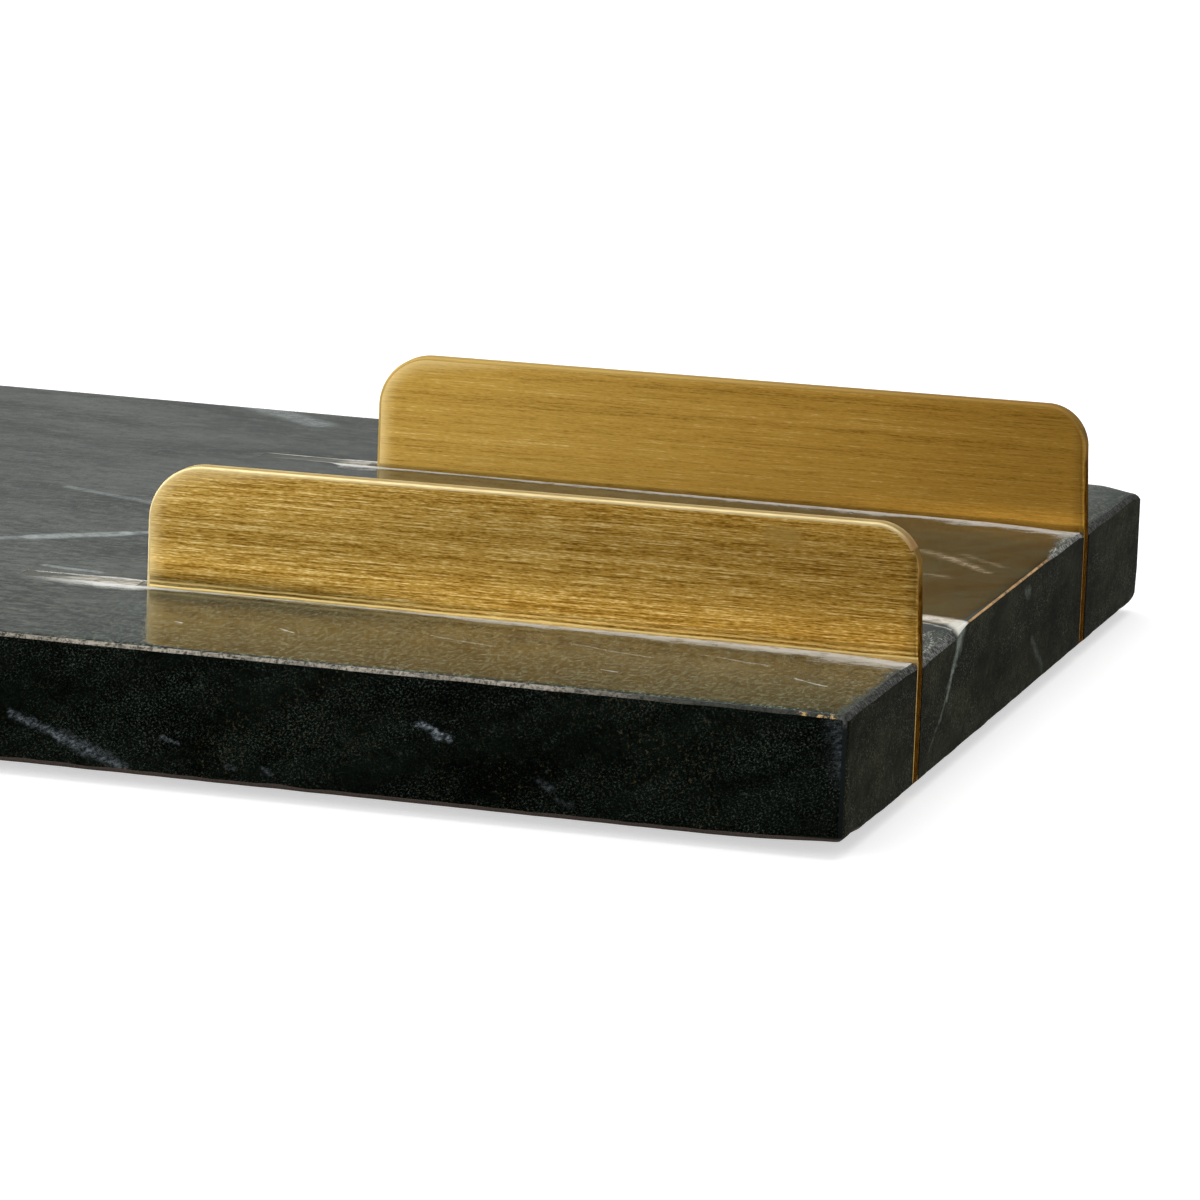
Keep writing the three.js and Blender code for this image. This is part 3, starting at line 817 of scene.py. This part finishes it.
def half_outline():
    """Stations from the middle of the front round the right end to the middle of the back."""
    stations = []

    def outer(x, y, normal):
        stations.append((outer_station(x, y, normal), "outer", 0.0))

    def corner(side, start):
        for turn in spread(start, start + 90, 15)[1:-1]:
            n = (math.cos(math.radians(turn)), math.sin(math.radians(turn)))
            outer(HALF_LENGTH - r + r * n[0], side * (HALF_WIDTH - r) + r * n[1], n)
    r = SLAB_CORNER_RADIUS
    corner_x = HALF_LENGTH - CORNER_REACH
    long_side = spread(0, corner_x, OUTLINE_STEP) + spread(corner_x, HALF_LENGTH - r, CORNER_STEP)[1:]
    inward = spread(HALF_LENGTH, KERF_FOOT_X, 1.5 * OUTLINE_STEP)
    inward += spread(KERF_FOOT_X, KERF_TIP_X, OUTLINE_STEP)[1:]
    for x in long_side:
        outer(x, -HALF_WIDTH, (0, -1))
    corner(-1, -90)
    y = -HALF_WIDTH + r
    for side in (-1, 1):
        wall_in = side * KERF_CENTRE_Y - KERF_HALF_WIDTH
        wall_out = side * KERF_CENTRE_Y + KERF_HALF_WIDTH
        for v in spread(y, wall_in, END_STEP)[:-1]:
            outer(HALF_LENGTH, v, (1, 0))
        stations += [(kerf_station(x, wall_in), "kerf", x) for x in inward]
        stations += [(kerf_station(x, wall_out), "kerf", x) for x in reversed(inward)]
        y = wall_out
    for v in spread(y, HALF_WIDTH - r, END_STEP)[1:]:
        outer(HALF_LENGTH, v, (1, 0))
    corner(1, 0)
    for x in reversed(long_side[1:]):
        outer(x, HALF_WIDTH, (0, 1))
    return stations


def turned(stations):
    """The same stations turned half round, for the left end."""
    return [([(-x, -y, z) for x, y, z in column], kind, at) for column, kind, at in stations]


def triangulate(ring, inner):
    """Triangles that fill a closed ring of plan points, using the inner points as well."""
    flat = [Vector((p[0] / MM, p[1] / MM)) for p in ring + inner]
    found = delaunay_2d_cdt(flat, [], [list(range(len(ring)))], 1, 1e-5)
    origin = [min(ids) if ids else None for ids in found[3]]
    return [tuple(origin[v] for v in face) for face in found[2] if None not in [origin[v] for v in face]]


def inner_points():
    """Plan points inside the top: a coarse grid, and a fine one where the top is ground hollow."""
    step, coarse = TOP_GRID_STEP, TOP_GRID_COARSE
    clear = 1.3 * MM + 1.2 * EDGE_ROLL + 0.8 * MM
    points = []
    for i in range(int(-HALF_LENGTH / step), int(HALF_LENGTH / step) + 1):
        for j in range(int(-HALF_WIDTH / step), int(HALF_WIDTH / step) + 1):
            x, y = i * step, j * step
            if abs(x) > HALF_LENGTH - clear or abs(y) > HALF_WIDTH - clear:
                continue
            in_kerf = abs(abs(y) - KERF_CENTRE_Y) < KERF_HALF_WIDTH + 0.6 * MM
            if in_kerf and abs(x) > KERF_TIP_X - 0.8 * MM:
                continue
            if (i % coarse == 0 and j % coarse == 0) or ground_depth(x, y) > 0.004 * MM:
                points.append((x, y, TOP_Z - ground_depth(x, y)))
    return points


def side_kind(first, second):
    """Which material a strip between two outer columns has: 3 on an end, 2 on a corner with wear, 1 elsewhere."""
    near_end = [HALF_LENGTH - abs(column[5][0]) for column in (first, second)]
    near_side = [HALF_WIDTH - abs(column[5][1]) for column in (first, second)]
    if max(near_end) < 0.76 * MM and max(near_side) < 0.76 * MM:
        return 2
    return 3 if max(near_end) < 0.3 * MM else 1


def sharpen_kerfs(mesh):
    """Hard edges round the kerfs, whose curved floor meets the top at a low angle."""
    def at_kerf(point):
        across = abs(abs(point.y) - KERF_CENTRE_Y)
        return across < KERF_HALF_WIDTH + 3 * KERF_EDGE and abs(point.x) < HALF_LENGTH - 3 * MM
    sharp = mesh.attributes["sharp_edge"]
    for edge in mesh.edges:
        if all(at_kerf(mesh.vertices[v].co) for v in edge.vertices):
            sharp.data[edge.index].value = True


def make_slab(materials):
    """The slab, with its materials in the order top, sides, ground edges, ends."""
    half = half_outline()
    stations = half + turned(half)
    count, rows = len(stations), len(stations[0][0])
    points = [p for column, kind, at in stations for p in column]
    faces, kinds = [], []
    for i in range(count):
        j = (i + 1) % count
        kerf = stations[i][1] == "kerf" or stations[j][1] == "kerf"
        side = 1 if kerf else side_kind(stations[i][0], stations[j][0])
        for row in range(rows - 1):
            faces.append((i * rows + row, i * rows + row + 1, j * rows + row + 1, j * rows + row))
            if row < 3:
                kinds.append(0)
            elif row < 5:
                kinds.append(2)
            else:
                kinds.append(side if row < rows - 2 or kerf else 2)
    # The curved floor that the blade leaves in each kerf
    for i in range(count):
        j = (i + 1) % count
        on_floor = stations[i][1] == "kerf" and stations[i][2] <= KERF_TIP_X + SAME
        if on_floor and stations[j][1] == "kerf" and stations[j][2] == stations[i][2]:
            a, b = i, j
            while stations[a - 1][1] == "kerf" and stations[a - 1][2] <= KERF_FOOT_X + SAME:
                low = [a * rows + rows - 1, (a - 1) * rows + rows - 1]
                high = [(b + 1) * rows + rows - 1, b * rows + rows - 1]
                faces.append((*low, *high))
                kinds.append(1)
                a, b = a - 1, b + 1
    top_ring = [column[0] for column, kind, at in stations]
    inner = inner_points()
    base = len(points)
    points += inner
    for face in triangulate(top_ring, inner):
        faces.append(tuple(v * rows if v < count else base + v - count for v in face))
        kinds.append(0)
    under = [i for i, s in enumerate(stations) if s[1] == "outer" or s[2] >= KERF_FOOT_X - SAME]
    for face in triangulate([stations[i][0][-1] for i in under], []):
        faces.append(tuple(under[v] * rows + rows - 1 for v in face))
        kinds.append(1)
    slab = make_object("marble_slab_stone", points, faces, materials, 46, kinds)
    sharpen_kerfs(slab.data)
    return slab


# Brass plates

def stand_in_kerf(name, end, side, rings, materials, sharp_degrees=None, face_materials=None):
    """A body through rings drawn for the right end round the kerf's middle, brought to its end and side."""
    points, faces = loft(rings)
    placed = [(ENDS[end] * x, SIDES[side] * KERF_CENTRE_Y + y, z) for x, y, z in points]
    return make_object(name, placed, faces, materials, sharp_degrees, face_materials)


def plate_outline(inset):
    """The plate's edge seen from the front, anticlockwise from its inner bottom corner, inset all round."""
    low = plate_low.z + inset
    slope = math.atan2(PLATE_CLIMB, plate_high.x - plate_low.x)

    def top_line(x):
        return plate_high.z - (plate_high.x - PLATE_OUTER_RADIUS - x) * math.tan(slope)

    def outer_line(z):
        """The outer end: ground flush with the stone, and filed a little further back above it."""
        eased = inset * (0.15 + 0.85 * smooth(TOP_Z - 0.5 * MM, TOP_Z + MM, z))
        filed = PLATE_END_RECESS * min(max((z - TOP_Z) / (PLATE_OUTER_RADIUS + 6 * MM), 0), 1)
        arris = max(UNDERSIDE_Z + ARRIS - z, 0)
        return plate_high.x - max(eased + filed, arris)
    inner_r, outer_r = PLATE_INNER_RADIUS, PLATE_OUTER_RADIUS
    outer_z = top_line(plate_high.x - outer_r) - outer_r / math.cos(slope)
    outer_c = (plate_high.x - PLATE_END_RECESS - outer_r, outer_z)
    inner_c = (plate_low.x + inner_r, top_line(plate_low.x + inner_r) - inner_r / math.cos(slope))
    points = [(plate_low.x + inset, low)]
    for i in range(PLATE_END_STEPS):
        z = low + (outer_c[1] - low) * i / PLATE_END_STEPS
        points.append((outer_line(z), z))
    top_angle = 90 + math.degrees(slope)
    for centre, radius, start, end in ((outer_c, outer_r, 0, top_angle), (inner_c, inner_r, top_angle, 180)):
        for i in range(PLATE_CORNER_STEPS + 1):
            a = math.radians(start + (end - start) * i / PLATE_CORNER_STEPS)
            points.append((centre[0] + (radius - inset) * math.cos(a), centre[1] + (radius - inset) * math.sin(a)))
    return points


def buffed_depth(inset, x):
    """How far buffing has rounded a face back, by the distance from the plate's edge: most at its inner end."""
    width = PLATE_BUFF_END + (PLATE_BUFF_TOP - PLATE_BUFF_END) * smooth(4 * MM, 14 * MM, x - plate_low.x)
    depth = PLATE_BUFF_DEPTH * (1 - 0.8 * smooth(16 * MM, 2 * MM, plate_high.x - x))
    return depth * max(1 - inset / width, 0) ** 2


def make_plate(end, side, materials):
    """One plate, its faces rounded back by buffing towards eased edges. Materials: faces, edges, outer end."""
    half = (plate_high.y - plate_low.y) / 2
    steps = [(inset, 0.0) for inset in PLATE_BUFF_INSETS]
    for turn in spread(0, 90, 90 / PLATE_EASING_STEPS):
        a = math.radians(turn)
        steps.append((PLATE_EASING * (1 - math.sin(a)), PLATE_EASING * (1 - math.cos(a))))
    rings, kinds = [], [0, 0]
    for face in (-1, 1):
        for inset, depth in (steps if face < 0 else reversed(steps)):
            outline = plate_outline(inset)
            rings.append([(x, face * (half - max(depth, buffed_depth(inset, x))), z) for x, z in outline])
    for row in range(len(rings) - 1):
        from_face = min(row, len(rings) - 2 - row) - len(PLATE_BUFF_INSETS)
        for i in range(len(rings[0])):
            on_end = 0 < i <= PLATE_END_STEPS + PLATE_CORNER_STEPS / 3
            on_face = from_face < (2 if on_end else 0)
            kinds.append(0 if on_face else 2 if on_end else 1)
    return stand_in_kerf(f"brass_plate_{end}_{side}_brushed", end, side, rings, materials, 35, kinds)


# Fillers, glue lines and feet

def make_filler(end, side, material):
    """Pale paste packed into the kerf's run-out, uneven on top."""
    toe_x = PLATE_INNER_X - POCKET_LENGTH
    half = KERF_HALF_WIDTH - 0.04 * MM
    rings = []
    for x in spread(KERF_TIP_X + 0.04 * MM, toe_x, GLUE_STEP):
        floor = rim_height(x) + 0.03 * MM
        ring = []
        for y in spread(-half, half, PASTE_STEP):
            rough = 0.07 * wobble(1.3 * MM, x, y, SIDES[side] + 3 * ENDS[end]) + 0.05 * wobble(5 * MM, x, y, 2)
            ring.append((x, y, max(TOP_Z - 0.07 * MM + rough * MM, floor + 0.01 * MM)))
        ring += [(x, half, floor), (x, -half, floor)]
        rings.append(ring)
    return stand_in_kerf(f"kerf_filler_{end}_{side}_paste", end, side, rings, [material], 40)


def make_glue_line(end, side, face, material):
    """The thin sheet of glue between a plate and one wall of its kerf."""
    outer_x, low = plate_high.x - 0.12 * MM, plate_low.z + 0.3 * MM
    inner_x, high = plate_low.x + 0.3 * MM, TOP_Z - 0.1 * MM
    seed = ENDS[end] * 3 + SIDES[side] * 2 + face
    outline = [(inner_x, low), (outer_x - 0.2 * MM, low)]
    for z in spread(low, high, GLUE_STEP)[1:-1]:
        outline.append((outer_x + 0.06 * MM * wobble(1.7 * MM, z, 0, seed), z))
    for x in spread(outer_x, inner_x, GLUE_STEP):
        outline.append((x, high + 0.09 * MM * wobble(1.9 * MM, x, 0, seed) - ground_depth(x, KERF_OUTER_Y)))
    near = (plate_high.y - plate_low.y) / 2 + 0.01 * MM
    far = KERF_HALF_WIDTH - 0.01 * MM
    rings = [[(x, face * y, z) for x, z in outline] for y in (near, far)]
    wall = "inner" if face * SIDES[side] < 0 else "outer"
    return stand_in_kerf(f"glue_line_{end}_{side}_{wall}", end, side, rings, [material])


def make_pocket_glue(end, side, material):
    """Set glue in the pocket between the filler and the plate's inner end."""
    half = KERF_HALF_WIDTH - 0.03 * MM
    rings = []
    for x in spread(PLATE_INNER_X - POCKET_LENGTH + 0.05 * MM, PLATE_INNER_X - 0.05 * MM, 0.4 * MM):
        ring = []
        for y in spread(-half, half, PASTE_STEP):
            ring.append((x, y, TOP_Z - (0.14 + 0.1 * wobble(1.1 * MM, x, y, SIDES[side] + 5 * ENDS[end])) * MM))
        ring += [(x, half, TOP_Z - 3 * MM), (x, -half, TOP_Z - 3 * MM)]
        rings.append(ring)
    return stand_in_kerf(f"glue_pocket_{end}_{side}", end, side, rings, [material], 40)


def make_foot(end, side, material):
    """A round stick-on foot with a softly rounded rim."""
    low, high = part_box(f"rubber_foot_{end}_{side}")
    centre, radius = (low + high) / 2, (high.x - low.x) / 2
    profile = [(radius, high.z - low.z)]
    for turn in spread(0, 90, 15):
        a = math.radians(turn)
        r = radius - FOOT_TAPER - FOOT_ROUNDING * (1 - math.cos(a))
        profile.append((r, FOOT_ROUNDING * (1 - math.sin(a))))
    profile.append((radius * 0.6, 0.02 * MM))
    rings = [[(centre.x + r * x, centre.y + r * y, low.z + z) for x, y in circle(FOOT_SIDES)] for r, z in profile]
    return make_object(f"rubber_foot_{end}_{side}_soft", *loft(rings), [material], 30)


# The object

def dress():
    """Every piece, with its body and the node it replaces. Returns the stone for the lamps."""
    sides = honed_marble("marble_honed_sides", (0.0005, 0.0009, 0.0006), (0.0028, 0.0042, 0.003),
                         ((0.052, 0.068, 0.054), (0.048, 0.038, 0.018)), FRONT_VEINS_AND_CORNER_HIGHLIGHT, FRONT_LEVEL,
                         (0, 2), (0.2, 0.23, 0.26), 0.05)
    ends = honed_marble("marble_honed_ends", (0.0045, 0.0052, 0.0026), (0.022, 0.0235, 0.013),
                        ((0.115, 0.118, 0.08), (0.08, 0.064, 0.032)), END_FACE_VEINS, END_LEVEL,
                        (1, 2), (0.27, 0.31, 0.27), 0.4)
    stone = make_slab([polished_marble(), sides, ground_marble(), ends])
    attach(stone, BODY)
    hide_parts("marble_slab")
    brass = [brushed_brass(), edge_brass(), end_brass()]
    paste, rubber = stone_filler(), foot_rubber()
    seam = glue("glue_line", (0.035, 0.022, 0.008), (0.36, 0.22, 0.09))
    smear = glue("glue_pocket", (0.07, 0.07, 0.055), (0.42, 0.41, 0.36))
    for end in ENDS:
        for side in SIDES:
            made = [(make_plate(end, side, brass), f"brass_plate_{end}_{side}", "brass"),
                    (make_filler(end, side, paste), f"kerf_filler_{end}_{side}", "filler"),
                    (make_foot(end, side, rubber), f"rubber_foot_{end}_{side}", "rubber")]
            for piece, node, slot in made:
                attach(piece, BODY)
                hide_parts(node)
            set_glue = [make_glue_line(end, side, face, seam) for face in (-1, 1)]
            set_glue.append(make_pocket_glue(end, side, smear))
            for piece in set_glue:
                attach(piece, BODY)
    return stone


stone = dress()


# Floor, tent, lamps and world

FLOOR_SIZE = 14
FLOOR_GLOW = 0.56
TENT_RADIUS = 4.5
TENT_HEIGHT = 5.5
WORLD_FILL = 0.45
SUN_STRENGTH = 1.7
LAMPS_AIM = Vector((0.14, 0, 0.03))


def background_rays(s):
    """1 for camera, glossy and transmission rays, 0 for the rest."""
    rays = s.node("ShaderNodeLightPath").outputs
    both = s.math("MAXIMUM", rays["Is Camera Ray"], rays["Is Glossy Ray"])
    return s.math("MAXIMUM", both, rays["Is Transmission Ray"])


def make_floor():
    """White paper that the camera and the polish see as pure white."""
    s = Shading("floor_white")
    paper = s.node("ShaderNodeBsdfDiffuse", {"Color": (0.66, 0.66, 0.66, 1)})
    glow = s.node("ShaderNodeEmission", {"Color": (1, 1, 1, 1), "Strength": s.times(background_rays(s), FLOOR_GLOW)})
    white = s.show(s.node("ShaderNodeAddShader", {0: paper.outputs[0], 1: glow.outputs[0]}))
    h = FLOOR_SIZE / 2
    floor = make_object("floor", [(-h, -h, 0), (h, -h, 0), (h, h, 0), (-h, h, 0)], [(0, 1, 2, 3)], [white])


def make_tent():
    """A grey cloth band round the set, out of the camera's sight, which the polished stone mirrors."""
    s = Shading("tent_grey")
    height = s.math("DIVIDE", s.axes()[2], TENT_RADIUS)
    level = s.ramp(height, 0.3, 0.55, 0.235, 0.14)
    grey = s.show(s.node("ShaderNodeEmission", {"Color": (1, 1, 1, 1), "Strength": level}))
    count = 64
    points = [(TENT_RADIUS * x, TENT_RADIUS * y, z) for z in (0.01, TENT_HEIGHT) for x, y in circle(count)]
    faces = [(i, (i + 1) % count, (i + 1) % count + count, i + count) for i in range(count)]
    tent = make_object("tent", points, faces, [grey], 60)
    tent.visible_camera = tent.visible_shadow = tent.visible_diffuse = False


def make_area_lamp(name, place, width, height, power):
    """A soft box. The stone has its light from a twin that the polish doesn't mirror as a white patch."""
    data = bpy.data.lights.new(name, "AREA")
    data.shape = "RECTANGLE"
    data.size, data.size_y, data.energy = width, height, power
    for on_stone in (False, True):
        label = name + ("_on_stone" if on_stone else "")
        lit = bpy.data.collections.new(label)
        lit.objects.link(stone)
        lit.collection_objects[0].light_linking.link_state = "INCLUDE" if on_stone else "EXCLUDE"
        lamp = add_object(label, data)
        lamp.location = place
        lamp.rotation_euler = (LAMPS_AIM - Vector(place)).to_track_quat("-Z", "Y").to_euler()
        lamp.visible_camera = False
        lamp.visible_glossy = not on_stone
        lamp.light_linking.receiver_collection = lit


def make_sun():
    """Broad soft light from above."""
    data = bpy.data.lights.new("overhead_cloth", "SUN")
    data.energy = SUN_STRENGTH
    data.angle = math.radians(70)
    sun = add_object("overhead_cloth", data)
    sun.rotation_euler = Vector((0.1, -0.25, -1)).to_track_quat("-Z", "Y").to_euler()
    sun.visible_camera = False


def make_world():
    """White for the camera and the polish, dimmer for what it lights."""
    s = Shading("studio", bpy.data.worlds)
    level = s.node("ShaderNodeMapRange", {"Value": background_rays(s), "To Min": WORLD_FILL, "To Max": 1.0})
    shine = s.node("ShaderNodeBackground", {"Color": (1, 1, 1, 1), "Strength": level.outputs[0]})
    bpy.context.scene.world = s.show(shine, "ShaderNodeOutputWorld")


def make_camera():
    """The photograph's camera: place, direction and roll from the solved view."""
    ahead = Vector((math.sin(CAMERA_AZIMUTH) * math.cos(CAMERA_DIP),
                    math.cos(CAMERA_AZIMUTH) * math.cos(CAMERA_DIP), -math.sin(CAMERA_DIP)))
    level = ahead.cross(Vector((0, 0, 1))).normalized()
    upright = level.cross(ahead)
    across = level * math.cos(CAMERA_ROLL) + upright * math.sin(CAMERA_ROLL)
    up = upright * math.cos(CAMERA_ROLL) - level * math.sin(CAMERA_ROLL)
    data = bpy.data.cameras.new("photograph_view")
    data.sensor_width = SENSOR_WIDTH
    data.lens = SENSOR_WIDTH * FOCAL_PIXELS / IMAGE_PIXELS
    data.clip_start, data.clip_end = 0.05, 60
    camera = add_object("photograph_view", data)
    turn = Matrix((across, up, -ahead)).transposed()
    camera.matrix_world = Matrix.Translation(CAMERA_PLACE) @ turn.to_4x4()
    bpy.context.scene.camera = camera


make_floor()
make_tent()
make_sun()
make_area_lamp("front_left_box", (-0.9, -0.98, 0.45), 1.1, 0.7, 12.3)
make_area_lamp("left_box", (-1.3, -0.1, 0.5), 0.9, 0.7, 8)
make_area_lamp("front_strip", (-0.4, -1.25, 0.36), 0.5, 0.35, 2.4)
make_world()
make_camera()
bpy.context.scene.view_settings.view_transform = "Standard"
